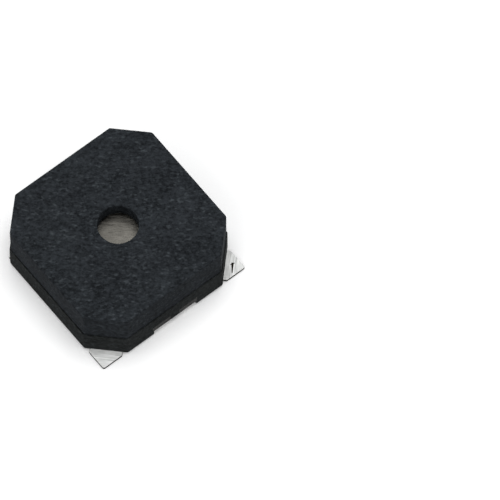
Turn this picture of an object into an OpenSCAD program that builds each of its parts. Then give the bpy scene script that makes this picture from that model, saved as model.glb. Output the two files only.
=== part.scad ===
// Surface-mount magnetic buzzer: an 8.5 mm square case with cut corners.
// Millimetres. Z = 0 is the seating plane of the solder terminals, +Z is up
// through the sound hole, and the origin is below the middle of the case.
// The short marker foot is in the (-X, +Y) corner.

/* [Case] */
// Width of the base across its flats
base_w = 8.5; // [8.3:0.05:9]
// Height of the base moulding, from its underside to the joint with the cover
base_h = 1.45; // [1.4:0.05:1.6]
// Length that a corner cut takes off each side of the base
corner_cut = 1.45; // [1.3:0.05:1.6]
// Radius on the upright edges of the corners
corner_r = 0.14; // [0.1:0.02:0.3]
// Bevel on the top edge of the cover and the bottom edge of the base
edge_bevel = 0.06; // [0.02:0.01:0.09]
// Distance from the base's outline in to the cover's
cover_inset = 0.05; // [0.02:0.01:0.1]
// Air space between the armature and the cover's roof
sound_gap = 0.3; // [0.25:0.01:0.7]
// Thickness of the cover's roof
roof_t = 0.8; // [0.4:0.05:0.9]
// Diameter of the sound hole
sound_hole_d = 1.94; // [1.2:0.02:3]
// Thickness of the cover's wall at the middle of each side
cover_wall = 0.4; // [0.3:0.02:0.5]
// Width of the ledge inside the cover, above the diaphragm's rim
cover_ledge = 0.4; // [0.2:0.05:0.6]

/* [Magnet circuit] */
// Width of the yoke plate's rim that the base's wall holds
yoke_hold = 0.2; // [0.1:0.02:0.3]
// Thickness of the yoke plate
yoke_t = 0.4; // [0.3:0.05:0.45]
// Diameter of the pole
pole_d = 1.4; // [1:0.05:1.8]
// Height of the pole above the yoke plate
pole_h = 1.05; // [1.05:0.01:1.4]
// Diameter of the rivet spigot that holds the pole in the yoke plate
rivet_d = 0.9; // [0.6:0.05:0.95]
// Radial space between the winding and the ring magnet
coil_space = 0.5; // [0.3:0.05:0.7]
// Height of the ring magnet
magnet_h = 0.68; // [0.5:0.02:0.7]
// Thickness of the glue under the magnet and the coil
glue_t = 0.03; // [0.02:0.01:0.05]

/* [Coil] */
// Radial build of the winding
coil_build = 1.05; // [0.6:0.05:1.2]
// Height of the winding
coil_h = 0.92; // [0.6:0.02:0.95]
// Diameter of the copper lead wires
wire_d = 0.06; // [0.04:0.01:0.08]
// Height of a solder joint over its pad
solder_h = 0.22; // [0.15:0.01:0.25]
// Bare pad around a solder joint
solder_margin = 0.07; // [0.04:0.01:0.15]
// Clear height of a lead wire over the magnet and under the cover
wire_gap = 0.05; // [0.03:0.01:0.07]

/* [Diaphragm] */
// Thickness of the steel diaphragm
diaphragm_t = 0.05; // [0.03:0.01:0.08]
// Air gap between the pole and the diaphragm
air_gap = 0.1; // [0.08:0.01:0.2]
// Diameter of the iron armature disc on the diaphragm
armature_d = 3.2; // [2.4:0.1:4]
// Thickness of the armature disc
armature_t = 0.2; // [0.15:0.01:0.35]
// Width of the rim on which the diaphragm rests
seat_wall = 0.3; // [0.25:0.01:0.35]

/* [Terminals] */
// Thickness of the terminals' sheet brass
terminal_t = 0.15; // [0.12:0.01:0.2]
// Width of a terminal
terminal_w = 1.54; // [1.3:0.02:1.6]
// Height of the base's underside above the seating plane
standoff = 0.1; // [0.05:0.01:0.1]
// Distance from a corner cut in to where the terminal leaves the base
root_depth = 0.55; // [0.5:0.01:0.65]
// Distance from the base's side in to the edge of a terminal's point
point_inset = 0.06; // [0.04:0.01:0.15]
// How far the short marker foot stands out of its corner
marker_out = 0.11; // [0.05:0.01:0.3]
// Inner radius of the terminals' bend
bend_inner_r = 0.05; // [0.03:0.01:0.08]
// Radius on the terminals' corners
terminal_r = 0.1; // [0.04:0.01:0.2]
// Depth of the inner solder pads below the joint with the cover
pad_depth = 0.4; // [0.35:0.01:0.45]

/* [Underside] */
// Thickness of the base's floor, under the yoke plate
floor_t = 0.3; // [0.25:0.01:0.35]
// Width of a notch that shows a stub of the yoke plate
notch_w = 0.93; // [0.7:0.01:1]
// Distance between the centres of the two notches on a side
notch_pitch = 1.57; // [1.4:0.01:1.7]
// Length of a notch, in from the base's side
notch_len = 0.78; // [0.5:0.02:0.9]
// Radius in the inner corners of a notch
notch_r = 0.18; // [0.05:0.01:0.3]
// How much wider than its notch a stub is, on each side
stub_lap = 0.05; // [0.02:0.01:0.1]
// Depth of the shallow recess around each pair of notches
recess_depth = 0.15; // [0.05:0.01:0.2]
// Distance from the base's side in to the end of the web between two notches
web_back = 0.08; // [0.02:0.01:0.15]
// Diameter of the two tapered locating holes at the underside
locating_d = 0.84; // [0.6:0.02:1]
// Diameter of the locating holes at the yoke plate
locating_in_d = 0.54; // [0.4:0.02:0.6]
// Distance between the centres of the locating holes
locating_pitch = 5.42; // [4.6:0.02:6]

/* [Clearances] */
// Clearance around the diaphragm in the cover
diaphragm_clear = 0.07; // [0.04:0.01:0.1]
// Clearance around the base's rim in the cover
rim_clear = 0.05; // [0.02:0.01:0.08]
// Clearance around the magnet in the base
magnet_clear = 0.05; // [0.02:0.01:0.08]
// Clearance between the pole and the winding
coil_clear = 0.05; // [0.03:0.01:0.1]
// Clearance around a solder pad in its pocket
pad_clear = 0.06; // [0.03:0.01:0.1]
// Wall between a solder pad and the magnet's seat
pad_gap = 0.04; // [0.03:0.01:0.1]
// Clearance around a terminal's foot in its recess
foot_clear = 0.03; // [0.02:0.01:0.06]
// Clearance between the diaphragm's rim and the cover's ledge
ledge_clear = 0.04; // [0.02:0.01:0.06]

/* [Hidden] */

round_fn = 96;        // large circles
small_fn = 32;        // rounded corners
cut_over = 0.2;       // how far a cutting shape reaches past a face
half_turn = 180;

// heights, from the seating plane up
underside_z = standoff;
yoke_z = underside_z + floor_t;
yoke_top_z = yoke_z + yoke_t;
joint_z = underside_z + base_h;
magnet_z = yoke_top_z + glue_t;
magnet_top_z = magnet_z + magnet_h;
coil_top_z = magnet_z + coil_h;
pole_top_z = yoke_top_z + pole_h;
seat_z = pole_top_z + air_gap;
diaphragm_top_z = seat_z + diaphragm_t;
ledge_z = diaphragm_top_z + ledge_clear;
armature_top_z = diaphragm_top_z + armature_t;
roof_z = armature_top_z + sound_gap;
top_z = roof_z + roof_t;
pad_top_z = joint_z - pad_depth;
pad_z = pad_top_z - terminal_t;

// diameters
cover_w = base_w - 2 * cover_inset;
cover_bore_d = cover_w - 2 * cover_wall;
chamber_d = cover_bore_d - 2 * cover_ledge;
rim_d = cover_bore_d - 2 * rim_clear;
rim_bore_d = rim_d - 2 * seat_wall;
magnet_d = rim_bore_d - 2 * magnet_clear;
coil_bore_d = pole_d + 2 * coil_clear;
coil_d = coil_bore_d + 2 * coil_build;
magnet_bore_d = coil_d + 2 * coil_space;
yoke_d = rim_bore_d + 2 * yoke_hold;
diaphragm_d = cover_bore_d - 2 * diaphragm_clear;

// places along a corner's diagonal, from the middle of the case out
root2 = sqrt(2);
cut_u = (base_w - corner_cut) / root2;
root_u = cut_u - root_depth;
point_u = (base_w / 2 - point_inset) * root2;
shoulder_u = point_u - terminal_w / 2;
marker_u = cut_u + marker_out;
pad_u = rim_bore_d / 2 + pad_gap;
solder_u = (pad_u + root_u) / 2;
solder_d = root_u - pad_u - 2 * solder_margin;
pocket_w = terminal_w + 2 * pad_clear;
bend_r = bend_inner_r + terminal_t;

// each corner's direction; the short foot marks the last one
corner_1 = 45;
corner_2 = -45;
corner_3 = -135;
corner_4 = 135;

// a lead wire's route in its corner's plane: distance out, height
wire_r = wire_d / 2;
over_z = magnet_top_z + wire_gap + wire_r;
under_z = joint_z - wire_gap - wire_r;
wire_route = [
    [coil_d / 2, coil_top_z - 2 * wire_d],
    [magnet_bore_d / 2, over_z],
    [magnet_d / 2, over_z],
    [rim_d / 2, (over_z + under_z) / 2],
    [cover_bore_d / 2, under_z],
    [solder_u, pad_top_z + wire_d]
];
window_top_z = over_z + 3 * wire_d;
window_w = 10 * wire_d;

// ---------------------------------------------------------------- outlines

// The case's outline as a solid: a square with cut corners, rounded upright
// edges, and a bevel at the bottom, the top or neither.
module case_block(w, cut, z_low, z_high, low_bevel, high_bevel) {
    r = corner_r;
    a = w / 2 - r;
    b = w / 2 - cut - r * tan(22.5);
    hull()
        for (p = [[a, b], [b, a]], sx = [-1, 1], sy = [-1, 1])
            translate([sx * p[0], sy * p[1], 0]) {
                translate([0, 0, z_low])
                    cylinder(r = r - low_bevel, h = z_high - z_low, $fn = small_fn);
                translate([0, 0, z_low + low_bevel])
                    cylinder(r = r, h = z_high - z_low - low_bevel - high_bevel, $fn = small_fn);
            }
}

module disc(d, z_low, z_high) {
    translate([0, 0, z_low])
        cylinder(d = d, h = z_high - z_low, $fn = round_fn);
}

module ring(d_out, d_in, z_low, z_high) {
    difference() {
        disc(d_out, z_low, z_high);
        disc(d_in, z_low - cut_over, z_high + cut_over);
    }
}

// A box given by its limits along a corner's diagonal and its width across.
module bar(u_low, u_high, w, z_low, z_high) {
    translate([u_low, -w / 2, z_low])
        cube([u_high - u_low, w, z_high - z_low]);
}

// ------------------------------------------------------------ base and cover

module base() color([0.17, 0.175, 0.18])
    difference() {
        union() {
            difference() {
                case_block(base_w, corner_cut, underside_z, joint_z, edge_bevel, 0);
                for (a = [corner_2, corner_3]) rotate(a) pad_pocket();
            }
            disc(rim_d, joint_z, seat_z);
        }
        disc(rim_bore_d, yoke_top_z, seat_z + cut_over);
        yoke_shape();
        for (side = [0, half_turn]) rotate(side) {
            yoke_notches();
            locating_hole();
        }
        for (a = [corner_1, corner_2, corner_3]) rotate(a) {
            foot_recess() spade_plan(foot_clear);
            riser_slot();
        }
        rotate(corner_4) {
            foot_recess() marker_plan(foot_clear);
            riser_slot();
        }
        for (a = [corner_2, corner_3]) rotate(a) wire_window();
    }

// The recess and the two notches under the yoke's stubs on the +Y side.
module yoke_notches() {
    side_y = base_w / 2;
    in_y = side_y - notch_len;
    recess_w = notch_pitch + notch_w;
    translate([-recess_w / 2, in_y - notch_r / 2, underside_z - cut_over])
        cube([recess_w, notch_len + notch_r, cut_over + recess_depth]);
    translate([-notch_pitch / 2, side_y - web_back, underside_z - cut_over])
        cube([notch_pitch, web_back + cut_over, cut_over + floor_t]);
    for (sx = [-1, 1])
        translate([sx * notch_pitch / 2, 0, underside_z - cut_over])
            linear_extrude(floor_t + cut_over)
                notch_outline(in_y);
}

module notch_outline(in_y) {
    out_y = base_w / 2 + cut_over;
    translate([-notch_w / 2, in_y + notch_r])
        square([notch_w, out_y - in_y - notch_r]);
    translate([-notch_w / 2 + notch_r, in_y])
        square([notch_w - 2 * notch_r, out_y - in_y]);
    for (sx = [-1, 1])
        translate([sx * (notch_w / 2 - notch_r), in_y + notch_r])
            circle(r = notch_r, $fn = small_fn);
}

// The hole tapers in to the yoke plate, which closes it.
module locating_hole() {
    widening = (locating_d - locating_in_d) * cut_over / floor_t;
    translate([locating_pitch / 2, 0, underside_z - cut_over])
        cylinder(d1 = locating_d + widening, d2 = locating_in_d, h = floor_t + cut_over, $fn = 48);
}

// A foot lies in a shallow recess in the underside.
module foot_recess() {
    translate([0, 0, underside_z - cut_over])
        linear_extrude(terminal_t - standoff + cut_over)
            children();
}

// The slot that a terminal's upright leg fills, with room for its bend.
module riser_slot() {
    bar(root_u, root_u + terminal_t, terminal_w, underside_z - cut_over, pad_top_z);
    bar(root_u, root_u + bend_r, terminal_w, underside_z - cut_over, bend_r);
}

// The pocket around a solder pad, open at the joint with the cover.
module pad_pocket() {
    bar(pad_u, root_u, pocket_w, pad_z, joint_z + cut_over);
    bar(root_u - cut_over, root_u + terminal_t, terminal_w, pad_top_z, joint_z + cut_over);
}

// The window under the rim that lets a lead wire out to its pad.
module wire_window() {
    bar(magnet_d / 2, rim_d / 2 + cut_over, window_w, pad_top_z, window_top_z);
}

module cover() color([0.16, 0.165, 0.175])
    difference() {
        case_block(cover_w, corner_cut - (2 - root2) * cover_inset, joint_z, top_z, 0, edge_bevel);
        disc(cover_bore_d, joint_z - cut_over, ledge_z);
        disc(chamber_d, ledge_z - cut_over, roof_z);
        disc(sound_hole_d, roof_z - cut_over, top_z + cut_over);
    }

// ----------------------------------------------------------------- terminals

// A spade foot seen from above: straight sides, and a square point.
module spade_plan(grow = 0) {
    w = terminal_w / 2 + grow;
    r = terminal_r;
    tip = point_u + grow * root2 - r * root2;
    hull() {
        translate([root_u, -w])
            square([r, 2 * w]);
        for (s = [-1, 1])
            translate([shoulder_u - r * tan(22.5), s * (w - r)])
                circle(r = r, $fn = small_fn);
        translate([tip, 0])
            circle(r = r, $fn = small_fn);
    }
}

// The marker foot is cut off square, just outside the corner.
module marker_plan(grow = 0) {
    w = terminal_w / 2 + grow;
    r = terminal_r;
    hull() {
        translate([root_u, -w])
            square([r, 2 * w]);
        for (s = [-1, 1])
            translate([marker_u + grow - r, s * (w - r)])
                circle(r = r, $fn = small_fn);
    }
}

// The bent strip seen from its edge: foot, bend and upright leg.
module strip_profile(out_u, top) {
    translate([root_u + bend_r, 0])
        square([out_u - root_u, terminal_t]);
    translate([root_u, bend_r])
        square([terminal_t, top - bend_r]);
    intersection() {
        translate([root_u + bend_r, bend_r])
            difference() {
                circle(r = bend_r, $fn = 64);
                circle(r = bend_inner_r, $fn = 64);
            }
        translate([root_u, 0])
            square([bend_r, bend_r]);
    }
}

module strip(out_u, top) {
    translate([0, terminal_w / 2, 0])
        rotate([90, 0, 0])
            linear_extrude(terminal_w)
                strip_profile(out_u, top);
}

module bent_terminal(out_u, top) color([0.86, 0.86, 0.84])
    intersection() {
        strip(out_u, top);
        translate([0, 0, -cut_over])
            linear_extrude(top + 2 * cut_over)
                children();
    }

module live_terminal() {
    bent_terminal(point_u, pad_top_z) spade_plan();
    color([0.86, 0.86, 0.84])
        bar(pad_u, root_u, terminal_w, pad_z, pad_top_z);
}

module terminal_1() rotate(corner_1) bent_terminal(point_u, pad_top_z) spade_plan();
module terminal_2() rotate(corner_2) live_terminal();
module terminal_3() rotate(corner_3) live_terminal();
module marker_foot() rotate(corner_4) bent_terminal(marker_u, pad_top_z) marker_plan();

// ------------------------------------------------------------ magnet circuit

// The plate is a disc with two stubs each side, where its tie bars were cut.
module yoke_shape() {
    stub_w = notch_w + 2 * stub_lap;
    disc(yoke_d, yoke_z, yoke_top_z);
    for (side = [0, half_turn], sx = [-1, 1])
        rotate(side)
            translate([sx * notch_pitch / 2 - stub_w / 2, yoke_d / 4, yoke_z])
                cube([stub_w, base_w / 2 - yoke_d / 4, yoke_t]);
}

module yoke_plate() color([0.72, 0.72, 0.7])
    difference() {
        yoke_shape();
        disc(rivet_d, yoke_z - cut_over, yoke_top_z + cut_over);
    }

module pole() color([0.6, 0.6, 0.58])
    union() {
        disc(rivet_d, yoke_z, yoke_top_z);
        disc(pole_d, yoke_top_z, pole_top_z);
    }

module ring_magnet() color([0.35, 0.35, 0.36])
    ring(magnet_d, magnet_bore_d, magnet_z, magnet_top_z);

module magnet_glue() color([0.75, 0.7, 0.55])
    ring(magnet_d, magnet_bore_d, yoke_top_z, magnet_z);

// ---------------------------------------------------------------------- coil

module coil() color([0.72, 0.36, 0.18])
    ring(coil_d, coil_bore_d, magnet_z, coil_top_z);

module coil_glue() color([0.75, 0.7, 0.55])
    ring(coil_d, coil_bore_d, yoke_top_z, magnet_z);

// A wire swept along its route, in the plane of its corner's diagonal.
wire_sides = 8;
function unit(v) = v / norm(v);
function along(i) =
    let (n = len(wire_route) - 1)
    unit(wire_route[min(i + 1, n)] - wire_route[max(i - 1, 0)]);
function wire_ring(i) =
    let (p = wire_route[i], t = i == 0 ? [1, 0] : along(i), across = [-t[1], t[0]])
    [for (k = [0 : wire_sides - 1])
        let (a = 360 * k / wire_sides, n = wire_r * cos(a), s = wire_r * sin(a))
        [p[0] + n * across[0], s, p[1] + n * across[1]]];

module lead_wire() {
    rings = len(wire_route);
    points = [for (i = [0 : rings - 1]) each wire_ring(i)];
    sides = [for (i = [0 : rings - 2], k = [0 : wire_sides - 1])
        let (j = (k + 1) % wire_sides, a = i * wire_sides, b = a + wire_sides)
        [a + k, b + k, b + j, a + j]];
    first = [for (k = [0 : wire_sides - 1]) k];
    last = [for (k = [wire_sides - 1 : -1 : 0]) (rings - 1) * wire_sides + k];
    polyhedron(points = points, faces = concat(sides, [first], [last]), convexity = 4);
}

module lead_wire_1() color([0.75, 0.4, 0.2]) rotate(corner_2) lead_wire();
module lead_wire_2() color([0.75, 0.4, 0.2]) rotate(corner_3) lead_wire();

// A domed solder joint on its pad, around the end of its wire.
module solder_joint() color([0.8, 0.8, 0.8]) {
    r = solder_d / 2;
    dome_r = (r * r + solder_h * solder_h) / (2 * solder_h);
    difference() {
        translate([solder_u, 0, pad_top_z + solder_h - dome_r])
            sphere(r = dome_r, $fn = 64);
        translate([0, 0, pad_top_z - 3 * dome_r])
            cylinder(r = base_w, h = 3 * dome_r, $fn = small_fn);
        lead_wire();
    }
}

module solder_joint_1() rotate(corner_2) solder_joint();
module solder_joint_2() rotate(corner_3) solder_joint();

// ----------------------------------------------------------------- diaphragm

module diaphragm() color([0.7, 0.71, 0.72])
    disc(diaphragm_d, seat_z, diaphragm_top_z);

module armature() color([0.6, 0.6, 0.58])
    disc(armature_d, diaphragm_top_z, armature_top_z);

base();
cover();
terminal_1();
terminal_2();
terminal_3();
marker_foot();
yoke_plate();
pole();
ring_magnet();
magnet_glue();
coil();
coil_glue();
lead_wire_1();
lead_wire_2();
solder_joint_1();
solder_joint_2();
diaphragm();
armature();
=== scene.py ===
"""Dressed model of a surface-mount magnetic buzzer.

It is laid out as a Blender add-on and run as a script. Shapes are worked out in
millimetres and turned into metres when a piece is made.
"""

import math
from contextlib import contextmanager
from functools import partial

import bmesh
import bpy
from bpy.props import FloatProperty, FloatVectorProperty, IntProperty, PointerProperty
from bpy.types import Operator, Panel, PropertyGroup
from mathutils import Matrix, Vector, noise


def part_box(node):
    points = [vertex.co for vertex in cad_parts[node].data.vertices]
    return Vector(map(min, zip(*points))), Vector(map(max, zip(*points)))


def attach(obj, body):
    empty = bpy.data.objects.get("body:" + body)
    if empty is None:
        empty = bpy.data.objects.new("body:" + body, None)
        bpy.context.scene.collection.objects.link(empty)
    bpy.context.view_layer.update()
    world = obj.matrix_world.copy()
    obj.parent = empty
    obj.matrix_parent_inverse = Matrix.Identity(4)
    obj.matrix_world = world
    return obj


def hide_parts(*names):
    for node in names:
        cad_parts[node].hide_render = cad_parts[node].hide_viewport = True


bl_info = {
    "name": "Magnetic buzzer",
    "version": (1, 0, 0),
    "blender": (4, 5, 0),
    "location": "3D View > Sidebar > Buzzer",
    "description": "Builds a surface-mount magnetic buzzer, piece by piece",
    "category": "Object",
}

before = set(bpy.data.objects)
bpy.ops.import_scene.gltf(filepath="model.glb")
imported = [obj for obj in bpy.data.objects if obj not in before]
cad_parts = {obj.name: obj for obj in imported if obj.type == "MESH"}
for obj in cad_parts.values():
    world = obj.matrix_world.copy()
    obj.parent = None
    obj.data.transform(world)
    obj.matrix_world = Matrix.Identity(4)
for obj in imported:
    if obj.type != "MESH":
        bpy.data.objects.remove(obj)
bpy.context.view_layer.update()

MM = 0.001
BODY = "root"
OVER = 0.2  # how far a cutting shape reaches past a face, in millimetres
ROOT2 = math.sqrt(2)
FULL_TURN = 2 * math.pi
RIGHT_ANGLE = math.pi / 2

# Directions of the four corners, in degrees from +X.
PLAIN_CORNER, LIVE_CORNER_1, LIVE_CORNER_2, MARKER_CORNER = 45, -45, -135, 135


# ------------------------------------------------------------ sizes and colours


def span(node):
    """A node's width along X, in millimetres."""
    low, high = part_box(node)
    return (high.x - low.x) / MM


def bottom(node):
    """Height of a node's lowest point, in millimetres."""
    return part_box(node)[0].z / MM


def top(node):
    """Height of a node's highest point, in millimetres."""
    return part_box(node)[1].z / MM


def linear(code):
    """An sRGB hex colour as linear red, green and blue."""
    parts = [int(code[i : i + 2], 16) / 255 for i in (1, 3, 5)]
    return tuple(p / 12.92 if p <= 0.04045 else ((p + 0.055) / 1.055) ** 2.4 for p in parts)


def length(name, description, millimetres):
    """A length property: it is held in metres, and its default is in millimetres."""
    return FloatProperty(name=name, description=description, default=millimetres * MM, min=0,
                         precision=5, unit="LENGTH")


def colour(name, description, code):
    """A colour property whose default is an sRGB hex colour."""
    return FloatVectorProperty(name=name, description=description, default=linear(code), min=0,
                               max=1, size=3, subtype="COLOR")


def in_mm(group, names):
    """The lengths that a list of names gives, from a group, in millimetres."""
    return [getattr(group, name) / MM for name in names.split()]


class BuzzerCaseSizes(PropertyGroup):
    """Sizes of the two mouldings"""

    base_width: length("Base width", "Width of the base across its flats", span("base"))
    cover_width: length("Cover width", "Width of the cover across its flats", span("cover"))
    corner_cut: length("Corner cut", "Length that a corner cut takes off a side", 1.45)
    corner_radius: length("Corner radius", "Radius on the upright edges", 0.14)
    edge_radius: length("Edge radius", "Radius round the top and the underside", 0.06)
    small_radius: length("Small radius", "Radius on the small moulded edges", 0.01)
    hole_diameter: length("Sound hole", "Diameter of the sound hole", 1.94)
    roof: length("Roof", "Thickness of the cover's roof", 0.8)
    bore: length("Cover bore", "Inner diameter of the cover at the joint", 7.6)
    chamber: length("Chamber", "Diameter of the sound chamber", 6.8)
    ledge_clear: length("Ledge gap", "Gap between the diaphragm and the cover's ledge", 0.04)
    rim: length("Rim", "Outer diameter of the base's rim", 7.5)
    rim_bore: length("Rim bore", "Inner diameter of the base's rim", 6.9)


class BuzzerUndersideSizes(PropertyGroup):
    """Sizes of the openings in the base"""

    notch_width: length("Notch width", "Width of a notch under a yoke stub", 0.93)
    notch_pitch: length("Notch pitch", "Distance between two notches' centres", 1.57)
    notch_length: length("Notch length", "How far a notch runs in from the side", 0.78)
    notch_radius: length("Notch radius", "Radius in a notch's inner corners", 0.18)
    recess: length("Recess", "Depth of the recess around a pair of notches", 0.15)
    web_back: length("Web", "How far the web between two notches stands back", 0.08)
    locating: length("Locating hole", "Diameter of the two tapered locating holes", 0.84)
    locating_inner: length("Locating end", "Their diameter at the yoke plate", 0.54)
    locating_pitch: length("Locating pitch", "Distance between the two holes", 5.42)
    stub_width: length("Stub width", "Width of a yoke stub", 1.03)
    window: length("Wire window", "Width of the window for a lead wire", 0.6)
    window_top: length("Window top", "Height of a wire window's upper end", 1.77)


class BuzzerTerminalSizes(PropertyGroup):
    """Sizes of the bent terminals, along a corner's diagonal"""

    thickness: length("Thickness", "Thickness of the sheet brass", 0.15)
    width: length("Width", "Width of a terminal", 1.54)
    corner_radius: length("Corner radius", "Radius on a terminal's corners", 0.1)
    bend_radius: length("Bend radius", "Inner radius of the bends", 0.05)
    burr_radius: length("Edge radius", "Radius along the stamped edges", 0.018)
    pad: length("Pad", "Distance from the middle to a pad's inner end", 3.49)
    root: length("Root", "Distance from the middle to the upright leg", 4.435)
    point_inset: length("Point inset", "From the case's side in to a point's edge", 0.06)
    marker: length("Marker end", "Distance from the middle to the marker's end", 5.095)
    pad_top: length("Pad height", "Height of a pad's upper face", 1.15)
    foot_clear: length("Clearance", "Clearance around a foot in its recess", 0.03)
    pad_clear: length("Pad clearance", "Clearance around a pad in its pocket", 0.06)


class BuzzerCircuitSizes(PropertyGroup):
    """Sizes of the magnet circuit, the coil and the diaphragm"""

    yoke: length("Yoke", "Diameter of the yoke plate's disc", 7.3)
    rivet: length("Rivet", "Diameter of the pole's rivet spigot", 0.9)
    pole: length("Pole", "Diameter of the pole", span("pole"))
    magnet: length("Magnet", "Outer diameter of the ring magnet", span("ring_magnet"))
    magnet_bore: length("Magnet bore", "Inner diameter of the ring magnet", 4.6)
    coil: length("Coil", "Outer diameter of the winding", span("coil"))
    coil_bore: length("Coil bore", "Inner diameter of the winding", 1.5)
    wire: length("Wire", "Diameter of the enamelled wire", 0.06)
    solder: length("Solder joint", "Diameter of a solder joint", 0.805)
    solder_place: length("Solder place", "Distance of a joint from the middle", 3.963)
    diaphragm: length("Diaphragm", "Diameter of the diaphragm", span("diaphragm"))
    armature: length("Armature", "Diameter of the armature disc", span("armature"))
    turns: IntProperty(name="Turns in a layer", default=15, min=3,
                       description="Number of wire turns in one layer of the winding")


class BuzzerColours(PropertyGroup):
    """Colours of the finishes"""

    # The cover's slight blue is painted light: the cool cast that light from above gives its top.
    cover: colour("Cover", "Glass-filled LCP of the cover", "#25282b")
    base: colour("Base", "Glass-filled LCP of the base", "#232525")
    fleck: colour("Flecks", "Glass fibres that show in the moulded skin", "#565c60")
    tin: colour("Tin", "Matt tin plating of the terminals", "#e4e5e4")
    # The terminals' edge colour is partly dark bare brass and partly painted shadow: the shade
    # along and under a foot's edge.
    brass_edge_and_shadow: colour("Brass edge and shadow", "Stained cut edge of the brass", "#1f1b16")
    nickel: colour("Nickel", "Nickel plating of the yoke plate", "#cfcdc8")
    # The stubs' cut-end colour is partly dark bare steel and partly painted shade: the shade low
    # in the notches where the ends stand.
    steel_end_and_shade: colour("Steel end and shade", "Cut ends of the yoke's stubs", "#262625")
    soft_iron: colour("Soft iron", "Turned soft iron of the pole", "#a5a29b")
    blanked_iron: colour("Blanked iron", "Rolled face of the armature", "#64625d")
    spring_steel: colour("Spring steel", "Rolled strip of the diaphragm", "#b4b3b0")
    magnet: colour("Magnet", "Bonded magnet powder", "#4a4a4c")
    glue: colour("Glue", "Cured epoxy", "#b9a878")
    enamel: colour("Enamel", "Enamelled copper wire", "#b4602c")
    solder: colour("Solder", "Tin-silver solder", "#c9cacb")
    floor: colour("Floor", "Pale card under the buzzer", "#cfcfcf")
    backdrop: colour("Backdrop", "White behind and around the floor", "#ffffff")


# ------------------------------------------------------------------ mesh making


def fillet(corners, steps=5):
    """The points of a closed outline whose corners (x, y, radius) are rounded."""
    points = []
    for i, (x, y, radius) in enumerate(corners):
        if radius <= 0:
            points.append((x, y))
            continue
        corner = Vector((x, y))
        before = (Vector(corners[i - 1][:2]) - corner).normalized()
        after = (Vector(corners[(i + 1) % len(corners)][:2]) - corner).normalized()
        half = before.angle(after) / 2
        centre = corner + (before + after).normalized() * radius / math.sin(half)
        reach = radius / math.tan(half)
        start, end = corner + before * reach - centre, corner + after * reach - centre
        turn = math.pi - 2 * half
        for k in range(steps + 1):
            along = k / steps * turn
            point = math.sin(turn - along) * start + math.sin(along) * end
            points.append(tuple(centre + point / math.sin(turn)))
    return points


def side_parts(outline, spacing):
    """How many parts each side of a closed outline needs, to be no longer than spacing."""
    ends = zip(outline, outline[1:] + outline[:1])
    return [max(1, math.ceil((Vector(q) - Vector(p)).length / spacing)) for p, q in ends]


def spread(outline, parts):
    """A closed outline with each side split into its own number of parts."""
    points = []
    for i, count in enumerate(parts):
        start, end = Vector(outline[i]), Vector(outline[(i + 1) % len(outline)])
        points += [tuple(start.lerp(end, k / count)) for k in range(count)]
    return points


def octagon(width, cut, radius, inset=0.0):
    """The case's outline seen from above, moved in by inset."""
    half = width / 2 - inset
    side = half - (cut - (2 - ROOT2) * inset)
    radius = radius - inset
    places = [(half, -side), (half, side), (side, half), (-side, half)]
    places += [(-x, -y) for x, y in places]
    return fillet([(x, y, radius) for x, y in places])


def circle(radius, count=128, centre=(0, 0)):
    """A circle's points, anticlockwise."""
    turns = [FULL_TURN * k / count for k in range(count)]
    return [(centre[0] + radius * math.cos(a), centre[1] + radius * math.sin(a)) for a in turns]


def rectangle(x_low, x_high, y_low, y_high):
    """A rectangle's corners, anticlockwise."""
    return [(x_low, y_low), (x_high, y_low), (x_high, y_high), (x_low, y_high)]


def turned_by(outline, degrees):
    """An outline turned about the Z axis."""
    c, s = math.cos(math.radians(degrees)), math.sin(math.radians(degrees))
    return [(c * x - s * y, s * x + c * y) for x, y in outline]


def at_height(outline, z):
    """An outline's points at one height."""
    return [(x, y, z) for x, y in outline]


def loft(rings, closed=False, capped=False):
    """Points and faces of a skin over rings of points. A ring may be a single point."""
    points, faces, starts = [], [], []
    for ring in rings:
        starts.append((len(points), len(ring)))
        points += ring
    pairs = list(zip(starts, starts[1:]))
    if closed:
        pairs.append((starts[-1], starts[0]))
    for (a, a_count), (b, b_count) in pairs:
        count = max(a_count, b_count)
        for k in range(count if count > 1 else 0):
            j = (k + 1) % count
            corners = (a + k % a_count, a + j % a_count, b + j % b_count, b + k % b_count)
            faces.append(list(dict.fromkeys(corners)))
    if capped:
        for start, count in (starts[0], starts[-1]):
            faces.append(list(range(start, start + count)))
    return points, faces


def prism(outline, low, high):
    """Points and faces of an upright solid over an outline."""
    return loft([at_height(outline, low), at_height(outline, high)], capped=True)


def turned(profile, count=96, closed=False, wave=None):
    """Points and faces of a profile of (radius, height) turned round the Z axis."""
    rings = []
    for radius, z in profile:
        if radius < 1e-6:
            rings.append([(0, 0, z)])
            continue
        ring = circle(radius, count)
        if wave:
            ring = [tuple(Vector(p) * (1 + wave(p, z) / radius)) for p in ring]
        rings.append(at_height(ring, z))
    return loft(rings, closed)


def tube(path, radius, sides):
    """Points and faces of a closed round tube along a path of points."""
    path = [Vector(p) for p in path]
    turns = [FULL_TURN * k / sides for k in range(sides)]
    rings, across = [], None
    for i, point in enumerate(path):
        along = (path[min(i + 1, len(path) - 1)] - path[max(i - 1, 0)]).normalized()
        if across is None:
            across = along.orthogonal()
        across = (across - along * across.dot(along)).normalized()
        third = along.cross(across)
        spokes = [math.cos(a) * across + math.sin(a) * third for a in turns]
        rings.append([tuple(point + radius * spoke) for spoke in spokes])
    return loft(rings, capped=True)


def ring_solid(outer, inner, low, high, radius, steps=3, wave=None):
    """Points and faces of a ring with rounded edges."""
    corners = [(inner, low), (outer, low), (outer, high), (inner, high)]
    profile = fillet([(r, z, radius) for r, z in corners], steps)
    return turned(profile, 128, closed=True, wave=wave)


def joined(solids):
    """Several solids as one list of points and one of faces."""
    points, faces = [], []
    for some_points, some_faces in solids:
        start = len(points)
        points += some_points
        faces += [[start + k for k in face] for face in some_faces]
    return points, faces


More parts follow.
